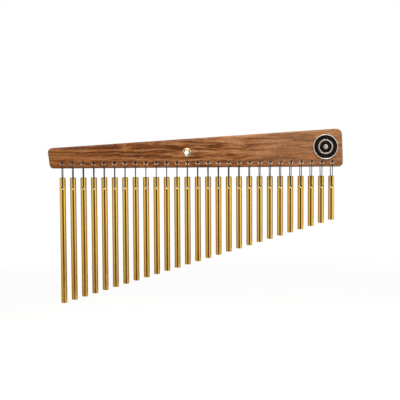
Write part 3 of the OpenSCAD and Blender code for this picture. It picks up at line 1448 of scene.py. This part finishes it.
@dataclass
class Badge:
    """The round badge: a cast plate with a raised rim, ring and boss, and black enamel between them."""

    layout: Layout
    radius: float = 20.9
    rim_w: float = 1.4
    thick: float = 2.4
    plate: float = 1.1
    enamel: float = 0.6
    ring_r: float = 12.5
    ring_w: float = 2.4
    boss_r: float = 4.0
    seam: float = 0.05
    soft: float = 0.25
    soft_steps: int = 4
    rim_steps: int = 20
    pool_sag: float = 0.12
    pool_flatness: int = 6
    pool_steps: int = 20
    turn_steps: int = 160
    from_end: float = 30.3
    above_holes: float = 25.1

    @property
    def field_r(self) -> float:
        """Radius of the enamel's field."""
        return self.radius - self.rim_w

    @property
    def ring_inner_r(self) -> float:
        """Inner radius of the raised ring."""
        return self.ring_r - self.ring_w

    @property
    def enamel_h(self) -> float:
        """Height of the enamel, the ring and the boss above the wood."""
        return self.plate + self.enamel

    def seat(self, r: float, height: float) -> Point:
        """A point of a profile at a distance from the axis and a height above the wood."""
        return r, -self.layout.thickness / 2 - height

    def soft_edge(self, r: float, side: int) -> list[Point]:
        """Works out the softened top edge of the ring or the boss.

        Args:
            r: the edge's radius.
            side: 1 for an edge that faces outwards, -1 for one that faces inwards.

        Returns:
            The edge's points, from the outer to the inner.
        """
        centre = (r - side * self.soft, self.enamel_h - self.soft)
        start = 0 if side > 0 else 90
        return arc(centre, self.soft, start, start + 90, self.soft_steps)

    def casting_profile(self) -> list[Point]:
        """Works out the casting's section, from its back at the axis round the rim to the boss.

        Returns:
            Its points.
        """
        rim_r = self.rim_w / 2
        rim = arc((self.radius - rim_r, self.thick - rim_r), rim_r, 0, 180, self.rim_steps)
        ring = self.soft_edge(self.ring_r, 1) + self.soft_edge(self.ring_inner_r, -1)
        raised = [
            (0.0, 0.0),
            (self.radius, 0.0),
            *rim,
            (self.field_r, self.plate),
            (self.ring_r, self.plate),
            *ring,
            (self.ring_inner_r, self.plate),
            (self.boss_r, self.plate),
            *self.soft_edge(self.boss_r, 1),
            (0.0, self.enamel_h),
        ]
        return [self.seat(r, h) for r, h in raised]

    def pool_profile(self, inner: float, outer: float) -> list[Point]:
        """Works out the section of a pool of enamel, a little lower in its middle.

        Args:
            inner: radius of the metal inside it.
            outer: radius of the metal outside it.

        Returns:
            Its points.
        """
        low, high = inner + self.seam, outer - self.seam
        top = []
        for k in range(self.pool_steps + 1):
            s = k / self.pool_steps
            sag = self.pool_sag * (1 - (2 * s - 1) ** self.pool_flatness)
            top.append(self.seat(low + (high - low) * s, self.enamel_h - sag))
        return [self.seat(high, self.plate), self.seat(low, self.plate), *top]

    def build(self) -> None:
        """Builds the casting and its enamel, in place of their CAD nodes."""
        lay = self.layout
        lathe = Lathe(lay.tall_end_x - self.from_end, lay.cord_hole_z + self.above_holes, self.turn_steps)
        casting = lathe.turn("badge_casting", [self.casting_profile()], PEWTER)
        hand_over(casting, "root", "badge_rim", PEWTER)
        pools = [
            self.pool_profile(self.ring_r, self.field_r),
            self.pool_profile(self.boss_r, self.ring_inner_r),
        ]
        enamel = lathe.turn("badge_enamel_pools", pools, ENAMEL)
        hand_over(enamel, "root", "badge_face", ENAMEL)


@dataclass
class ChimeRow:
    """The row of rods: turned bar, chamfered at both ends, with a flared cross hole."""

    layout: Layout
    chamfer: float = 0.5
    flare: float = 1.7
    flare_slope: float = 1.33
    lip_share: float = 0.55
    neck_share: float = 0.12
    sides: int = 72
    drill_sides: int = 48
    overrun: float = 1.0
    sharp_from: float = 30.0

    def rod_tree(self) -> GeometryTree:
        """Makes a tree that makes one rod with its top at a place given.

        Returns:
            The tree.
        """
        rod_sizes = ("Radius", "Length", "Chamfer")
        hole_sizes = ("Hole Depth", "Hole Radius", "Flare", "Flare Slope", "Overrun")
        sizes = rod_sizes + hole_sizes
        tree = GeometryTree("turned_rod", {"Sides": "Int", **dict.fromkeys(sizes, "Float"), "Top": "Vector"})
        radius, length, chamfer, depth, hole, flare, slope, over = (tree.given(name) for name in sizes)
        narrow = radius - chamfer
        heights = [length * -1, chamfer - length, depth * -1 - radius, radius - depth, chamfer * -1, 0.0]
        bar = tree.turned(tree.given("Sides"), heights, [narrow, radius, radius, radius, radius, narrow])
        out, lip, into = radius + over, radius - flare * self.lip_share, radius - flare
        neck = hole + flare * self.neck_share
        mouth = neck + (out - lip) * slope
        heights = [out * -1, lip * -1, into * -1, into, lip, out]
        drill = tree.laid_back(tree.turned(self.drill_sides, heights, [mouth, neck, hole, hole, neck, mouth]))
        drill = tree.moved(drill, tree.vector(0.0, 0.0, depth * -1))
        tree.end(tree.moved(tree.cut(bar, drill), tree.given("Top")))
        return tree

    def build(self) -> None:
        """Builds each rod, in place of its CAD node and of that node's length."""
        lay = self.layout
        tree = self.rod_tree()
        values = {
            "Sides": self.sides,
            "Radius": lay.rod_d / 2 * MM,
            "Chamfer": self.chamfer * MM,
            "Hole Depth": lay.rod_hole_depth * MM,
            "Hole Radius": lay.rod_hole_d / 2 * MM,
            "Flare": self.flare * MM,
            "Flare Slope": self.flare_slope,
            "Overrun": self.overrun * MM,
            "Material": GOLD.material(),
        }
        for number in lay.numbers():
            node = f"chime_{number:02d}"
            low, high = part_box(node)
            own = {"Length": high.z - low.z, "Top": ((low.x + high.x) / 2, 0.0, high.z)}
            start = bpy.data.meshes.new("start")
            piece = tree.run(f"rod_{number:02d}_gold", start, {**values, **own})
            smooth(piece.data, self.sharp_from)
            hand_over(piece, f"rod_{number:02d}", node, GOLD)


@dataclass
class CordLoops:
    """The cord loops: a taut braided ring through mantle and rod, knotted at the back."""

    layout: Layout
    cord_d: float = 1.5
    gap: float = 0.3
    rock_gap: float = 0.6
    mantle_bend_r: float = 2.5
    rod_bend_r: float = 2.4
    rod_bend_inset: float = 1.0
    bend_steps: int = 10
    kink_r: float = 6.0
    kink_h: float = 1.1
    kink_steps: int = 6
    knot_gap: float = 0.5
    knot_r: float = 2.0
    wrap_r: float = 1.2
    wrap_turns: float = 3.2
    wrap_rise: float = 1.25
    wrap_tucked: float = 0.35
    wrap_opening: float = 5.0
    wrap_steps: int = 64
    tail_len: float = 5.0
    tail_spread: float = 38.0
    tail_spread_play: float = 6.0
    tail_lean: float = 12.0
    tail_lean_play: float = 4.0
    tail_back_share: float = 0.8
    tail_curl: float = 0.5
    tail_steps: int = 16
    melted_girths: Place = (1.12, 1.14, 0.7)
    plait: float = 2.0
    plaits_round: float = 4.0
    relief: float = 0.05
    sides: int = 16
    step: float = 0.4
    sharp_from: float = 60.0
    seed: int = 27

    @property
    def hang_z(self) -> float:
        """Height of the loop's line through the mantle's hole."""
        lay = self.layout
        return lay.cord_hole_z - lay.cord_hole_d / 2 + self.gap + self.cord_d / 2

    @property
    def knot_y(self) -> float:
        """Place of the knot's middle in Y."""
        return self.layout.thickness / 2 + self.knot_gap + self.knot_r

    def centre_line(self) -> list[Place]:
        """Works out the loop's centre line: down its rear side, through the rod and up its front.

        Returns:
            Its points, on the plane across the row.
        """
        lay = self.layout
        r = self.cord_d / 2
        strand = lay.thickness / 2 + self.gap + r
        lift = lay.rod_hole_z + lay.rod_hole_d / 2 - self.rock_gap - r
        bend = (strand - self.mantle_bend_r, self.hang_z - self.mantle_bend_r)
        kink = (strand - self.kink_r, lay.bottom_z + self.kink_h)
        low = (lay.rod_d / 2 - self.rod_bend_inset, lift + self.rod_bend_r)
        across, up = kink[0] - low[0], kink[1] - low[1]
        far = math.hypot(across, up)
        lean = math.degrees(math.acos((self.rod_bend_r - self.kink_r) / far) - math.atan2(up, across))
        rear = arc(bend, self.mantle_bend_r, 90, 0, self.bend_steps)
        rear += arc(kink, self.kink_r, 0, -lean, self.kink_steps)
        rear += arc(low, self.rod_bend_r, -lean, -90, self.bend_steps)
        front = [(-y, z) for y, z in reversed(rear)]
        return [(0.0, y, z) for y, z in rear + front]

    def wrap_line(self) -> list[Place]:
        """Works out the centre line of the knot's turns round the strand.

        Returns:
            Its points, tucked in at both ends.
        """
        line = []
        for k in range(self.wrap_steps + 1):
            s = k / self.wrap_steps
            a = FULL_TURN * self.wrap_turns * s
            opened = self.wrap_tucked + self.wrap_opening * min(s, 1 - s)
            r = self.wrap_r * min(1.0, opened)
            rise = self.wrap_rise * (1 - 2 * s)
            line.append((r * math.cos(a), self.knot_y + r * math.sin(a), self.layout.cord_hole_z + rise))
        return line

    def tail_line(self, side: int, chance: random.Random) -> list[Place]:
        """Works out the centre line of a cut end: out of the knot, down and to one side.

        Args:
            side: the side, -1 or 1.
            chance: where its small differences from the next come from.

        Returns:
            Its points, with a slight curl.
        """
        play = chance.uniform(-self.tail_spread_play, self.tail_spread_play)
        spread = math.radians(side * (self.tail_spread + play))
        play = chance.uniform(-self.tail_lean_play, self.tail_lean_play)
        lean = math.radians(self.tail_lean + play)
        curl = chance.uniform(-self.tail_curl, self.tail_curl)
        line = []
        for k in range(self.tail_steps + 1):
            share = k / self.tail_steps
            s = self.tail_len * share
            x = s * math.sin(spread) + curl * share**2
            y = self.knot_y + s * math.sin(lean) * self.tail_back_share
            z = self.layout.cord_hole_z - s * math.cos(spread) * math.cos(lean)
            line.append((x, y, z))
        return line

    def skeleton(self, number: int) -> bpy.types.Mesh:
        """Makes the centre lines of one loop, its knot and its two cut ends.

        Args:
            number: the number of its rod.

        Returns:
            The lines, which keep their girth as a share of the cord's.
        """
        x = self.layout.rod_x(number)
        chance = random.Random(self.seed + number)
        loop, wrap = (self.centre_line(), True, []), (self.wrap_line(), False, [])
        tails = [(self.tail_line(side, chance), False, list(self.melted_girths)) for side in (-1, 1)]
        points: list[Place] = []
        edges: list[tuple[int, int]] = []
        girths: list[float] = []
        for line, closed, end_girths in (loop, wrap, *tails):
            first, count = len(points), len(line)
            points += [(x + px, py, pz) for px, py, pz in line]
            edges += [(first + k, first + k + 1) for k in range(count - 1)]
            if closed:
                edges.append((first + count - 1, first))
            girths += [1.0] * (count - len(end_girths)) + end_girths
        mesh = bpy.data.meshes.new("cord_skeleton")
        mesh.from_pydata(to_metres(points), edges, [])
        mesh.attributes.new("girth", "FLOAT", "POINT").data.foreach_set("value", girths)
        return mesh

    def braid_tree(self) -> GeometryTree:
        """Makes a tree that lays a braid along each line of a skeleton.

        Returns:
            The tree.
        """
        sizes = ("Radius", "Step", "Plait", "Relief")
        tree = GeometryTree("braided_cord", {"Sides": "Int", **dict.fromkeys(sizes, "Float")})
        radius, step, plait, relief = (tree.given(name) for name in sizes)
        lines = tree.node("GeometryNodeMeshToCurve", {0: tree.given("Geometry")})
        laid = tree.node("GeometryNodeResampleCurve", {0: lines.outputs[0]}, mode="LENGTH")
        tree.plug(laid.inputs["Length"], step)
        length = tree.term(tree.node("GeometryNodeSplineLength"))
        plaits = tree.math("MAXIMUM", tree.math("ROUND", length / plait), 1.0)
        share = tree.term(tree.node("GeometryNodeSplineParameter"), "Factor")
        phased = tree.keep(laid.outputs[0], "along", share * plaits * FULL_TURN)
        circle = tree.node("GeometryNodeCurvePrimitiveCircle")
        tree.plug(circle.inputs["Resolution"], tree.given("Sides"))
        tree.plug(circle.inputs["Radius"], radius)
        section = tree.keep(circle.outputs[0], "around", share * FULL_TURN)
        plugs = {"Curve": phased, "Profile Curve": section, "Scale": tree.kept("girth"), "Fill Caps": True}
        tube = tree.node("GeometryNodeCurveToMesh", plugs)
        around = tree.kept("around") * self.plaits_round
        crown = tree.math("COSINE", tree.kept("along")) * tree.math("COSINE", around)
        normal = tree.node("GeometryNodeInputNormal")
        plugs = {0: normal.outputs[0], "Scale": crown * relief}
        out = tree.node("ShaderNodeVectorMath", plugs, operation="SCALE")
        raised = tree.node("GeometryNodeSetPosition", {0: tube.outputs[0], "Offset": out.outputs[0]})
        tree.end(tree.keep(raised.outputs[0], "crown", crown * 0.5 + 0.5))
        return tree

    def build(self) -> None:
        """Builds each loop, in place of its CAD node."""
        tree = self.braid_tree()
        values = {
            "Radius": (self.cord_d / 2 - self.relief / 2) * MM,
            "Sides": self.sides,
            "Step": self.step * MM,
            "Plait": self.plait * MM,
            "Relief": self.relief * MM,
            "Material": BRAID.material(),
        }
        for number in self.layout.numbers():
            piece = tree.run(f"loop_{number:02d}_braid", self.skeleton(number), values)
            smooth(piece.data, self.sharp_from)
            hand_over(piece, f"loop_{number:02d}", f"cord_{number:02d}", BRAID)


# Studio


@dataclass
class Softbox:
    """A soft lamp that faces the chimes, seen in metal but not by the camera."""

    name: str
    azimuth: float
    height: float
    distance: float
    wide: float
    tall: float
    level: float

    def build(self, aim: Vector) -> None:
        """Sets up the lamp. Azimuth 0 is in front of the chimes and 90 at their tall end.

        Args:
            aim: the place that it faces.
        """
        a, e = math.radians(self.azimuth), math.radians(self.height)
        way = Vector((math.sin(a) * math.cos(e), -math.cos(a) * math.cos(e), math.sin(e)))
        lamp = bpy.data.lights.new(self.name, "AREA")
        lamp.shape = "RECTANGLE"
        lamp.size, lamp.size_y = self.wide, self.tall
        lamp.energy = math.pi * self.wide * self.tall * self.level
        holder = linked(self.name, lamp)
        holder.location = aim + way * self.distance
        holder.rotation_euler = (-way).to_track_quat("-Z", "Y").to_euler()
        holder.visible_camera = False


@dataclass
class Studio:
    """Pale floor, white surroundings, a dark card and soft lamps."""

    floor_z: float = -0.5
    floor_r: float = 6.0
    floor_steps: int = 96
    floor_fades: Fade = Fade(1.1, 2.4)
    floor_dims: Fade = Fade(1.0, 1.5)
    floor_lift: float = 0.51
    floor_rough: float = 0.7
    floor_shade: Colour = (0.70, 0.695, 0.685)
    floor_pale: Colour = (0.74, 0.735, 0.725)
    mottle_scale: float = 3.0
    mottle_detail: float = 3.0
    card_x: float = -0.01
    card_y: float = -1.3
    card_half: float = 0.75
    card_soft: float = 0.14
    card_top: float = 0.8
    ambient: Colour = (0.3, 0.3, 0.3)
    room: Colour = (0.10, 0.045, 0.002)
    room_turn: float = -3.0
    room_from: float = 15.0
    room_to: float = 24.0
    left: Colour = (0.83, 0.82, 0.87)
    right: Colour = (1.08, 1.08, 1.03)
    left_to_right: Fade = Fade(-0.35, 0.35)
    back: Colour = (0.26, 0.22, 0.16)
    back_from: float = 112.0
    back_soft: float = 0.4
    above: Colour = (1.0, 0.98, 0.95)
    above_from: Fade = Fade(0.45, 0.75)
    low: Colour = (0.4, 0.32, 0.25)
    low_from: Fade = Fade(-0.085, -0.18)
    low_until: Fade = Fade(-0.34, -0.24)
    least_flat: float = 1e-4
    softboxes: list[Softbox] = field(
        default_factory=lambda: [
            Softbox("key_softbox", 12.0, 54.0, 2.2, 1.4, 1.2, 7.4),
            Softbox("left_softbox", -70.0, 24.0, 2.4, 1.6, 1.2, 0.9),
            Softbox("right_softbox", 68.0, 26.0, 2.4, 1.6, 1.2, 1.4),
            Softbox("rear_softbox", 170.0, 48.0, 2.4, 2.0, 1.6, 0.6),
        ]
    )

    def sheet(self, name: str, corners: Sequence[Place], finish: bpy.types.Material) -> bpy.types.Object:
        """Sets up a flat sheet, which is no part of the chimes.

        Args:
            name: the sheet's name.
            corners: its corners, in order.
            finish: its material.

        Returns:
            The sheet.
        """
        mesh = bpy.data.meshes.new(name)
        mesh.from_pydata(corners, [], [tuple(range(len(corners)))])
        mesh.materials.append(finish)
        made = linked(name, mesh)
        return made

    def floor_finish(self) -> bpy.types.Material:
        """Makes a pale painted floor, which fades into the white surroundings further out.

        Returns:
            The material. In reflections it is dim well away from the chimes.
        """
        made, maker = blank_material("pale_floor")
        place = maker.object_place()
        x, y, _ = maker.parts(place)
        far = maker.distance(x, y)
        straight, glossy = maker.rays()
        mottle = maker.noise(place, self.mottle_scale, self.mottle_detail)
        colour = maker.blend(mottle, self.floor_shade, self.floor_pale)
        colour = maker.blend(glossy * self.floor_dims.at(maker, far), colour, self.low)
        plugs = {"Base Color": colour, "Roughness": self.floor_rough, "Emission Color": (*WHITE, 1.0)}
        plugs["Emission Strength"] = straight * self.floor_lift
        paint = maker.node("ShaderNodeBsdfPrincipled", plugs)
        clear = maker.node("ShaderNodeBsdfTransparent")
        both = maker.mix_shaders(self.floor_fades.at(maker, far), paint, clear)
        maker.node("ShaderNodeOutputMaterial", {"Surface": both.outputs[0]})
        return made

    def lay_floor(self) -> None:
        """Lays the floor well below the rods."""
        turns = (FULL_TURN * k / self.floor_steps for k in range(self.floor_steps))
        rim = [(self.floor_r * math.cos(a), self.floor_r * math.sin(a), self.floor_z) for a in turns]
        self.sheet("floor", rim, self.floor_finish())

    def card_finish(self) -> bpy.types.Material:
        """Makes the dark of the room, with soft upright edges.

        Returns:
            The material.
        """
        made, maker = blank_material("dark_card")
        x, _, _ = maker.parts(maker.object_place())
        off = maker.unsigned(x - self.card_x)
        edge = maker.remap(off, self.card_half - self.card_soft, self.card_half + self.card_soft)
        dark = maker.node("ShaderNodeEmission", {"Color": (*self.room, 1.0), "Strength": 1.0})
        both = maker.mix_shaders(edge, dark, maker.node("ShaderNodeBsdfTransparent"))
        maker.node("ShaderNodeOutputMaterial", {"Surface": both.outputs[0]})
        return made

    def stand_card(self) -> None:
        """Stands a dark card in front of the chimes, which only polished surfaces see."""
        low, high = (self.card_x + side * (self.card_half + self.card_soft) for side in (-1, 1))
        outline = ((low, self.floor_z), (high, self.floor_z), (high, self.card_top), (low, self.card_top))
        card = self.sheet("dark_card", [(x, self.card_y, z) for x, z in outline], self.card_finish())
        card.visible_camera = card.visible_diffuse = card.visible_shadow = False
        card.visible_transmission = card.visible_volume_scatter = False

    def reflected(self, maker: ShaderMaker) -> Term:
        """Draws what polished metal sees: dark in front, bright at the sides, dim at the back and low down.

        Args:
            maker: the maker of the world's tree.

        Returns:
            Its colour in each direction.
        """
        x, y, z = maker.parts(maker.term(maker.node("ShaderNodeTexCoord"), "Generated"))
        flat = maker.math("MAXIMUM", maker.distance(x, y), self.least_flat)
        turn = math.radians(self.room_turn)
        ahead = (x * math.sin(turn) - y * math.cos(turn)) / flat
        near, far, rear = (math.cos(math.radians(a)) for a in (self.room_from, self.room_to, self.back_from))
        seen = maker.blend(self.left_to_right.at(maker, x / flat), self.left, self.right)
        for share, colour in (
            (maker.remap(ahead, rear, rear - self.back_soft), self.back),
            (self.low_from.at(maker, z) * self.low_until.at(maker, z), self.low),
            (maker.remap(ahead, far, near), self.room),
            (self.above_from.at(maker, maker.unsigned(z)), self.above),
        ):
            seen = maker.blend(share, seen, colour)
        return seen

    def surroundings(self) -> None:
        """Makes the world: white to the camera, a studio to polished metal and plain to all else."""
        world = bpy.data.worlds.new("studio")
        bpy.context.scene.world = world
        world.use_nodes = True
        world.node_tree.nodes.clear()
        maker = ShaderMaker(world.node_tree)
        straight, glossy = maker.rays()
        shown = maker.blend(glossy, self.ambient, self.reflected(maker))
        shown = maker.blend(straight, shown, WHITE)
        shell = maker.node("ShaderNodeBackground", {"Color": shown, "Strength": 1.0})
        maker.node("ShaderNodeOutputWorld", {"Surface": shell.outputs[0]})

    def build(self) -> None:
        """Sets up the whole studio."""
        self.surroundings()
        self.lay_floor()
        self.stand_card()
        low, high = cad_box
        for softbox in self.softboxes:
            softbox.build((low + high) / 2)
        settings = bpy.context.scene.view_settings
        settings.view_transform = "Standard"
        log.info("studio with %d softboxes", len(self.softboxes))


@dataclass
class Viewpoint:
    """The camera, where the photograph was taken from. Its place is in millimetres."""

    place: Place = (-52.7, -1638.9, 40.5)
    yaw: float = 2.611
    pitch: float = -4.211
    roll: float = -0.303
    focal_px: float = 976.1
    sensor: float = 36.0

    def build(self) -> None:
        """Makes the camera and gives it to the scene."""
        yaw, pitch, roll = (math.radians(v) for v in (self.yaw, self.pitch, self.roll))
        ahead = Vector((math.sin(yaw) * math.cos(pitch), math.cos(yaw) * math.cos(pitch), math.sin(pitch)))
        level = Vector((math.cos(yaw), -math.sin(yaw), 0.0))
        upright = level.cross(ahead)
        right = math.cos(roll) * level + math.sin(roll) * upright
        up = math.cos(roll) * upright - math.sin(roll) * level
        turn = Matrix((right, up, -ahead)).transposed().to_4x4()
        data = bpy.data.cameras.new("viewpoint")
        data.sensor_width = self.sensor
        data.lens = self.focal_px * self.sensor / IMAGE_WIDTH_PX
        camera = linked("viewpoint", data)
        camera.matrix_world = Matrix.Translation(Vector(self.place) * MM) @ turn
        bpy.context.scene.camera = camera


def main() -> None:
    """Builds the chimes, the studio and the camera."""
    logging.basicConfig(level=logging.INFO, format="%(name)s: %(message)s", force=True)
    Viewpoint().build()
    for part in (Mantle(LAYOUT), StandEyelet(LAYOUT), Badge(LAYOUT), ChimeRow(LAYOUT), CordLoops(LAYOUT)):
        part.build()
    Studio().build()


if __name__ == "__main__":
    main()
